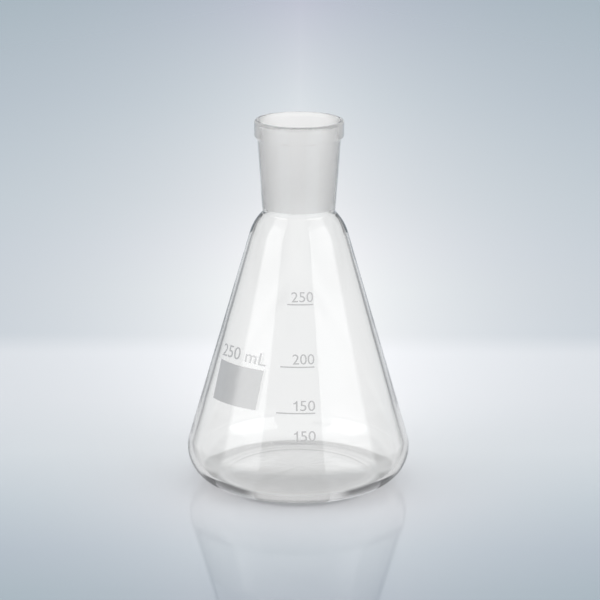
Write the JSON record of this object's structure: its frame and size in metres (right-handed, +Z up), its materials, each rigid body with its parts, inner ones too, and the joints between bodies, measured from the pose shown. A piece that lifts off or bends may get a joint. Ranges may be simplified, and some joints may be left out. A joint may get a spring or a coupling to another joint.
{
  "type": "erlenmeyer flask",
  "caption": "Conical laboratory flask of clear glass for mixing and heating liquids, with a ground tapered socket neck, a rim collar and a printed volume scale.",
  "frame": {"origin": "on the axis at the level of the foot ring, where the flask stands on a table", "axes": "+Z up along the axis, from the foot to the mouth; the printed side faces -Y"},
  "size_m": [0.085, 0.085, 0.14],
  "materials": {
    "clear_glass": "clear fire-polished borosilicate glass, ground matt inside the socket",
    "print_enamel": "white fired enamel, semi-matt"
  },
  "bodies": {
    "root": {"flask_body": "clear_glass", "marking_field": "print_enamel", "scale_lines": "print_enamel"}
  },
  "joints": []
}
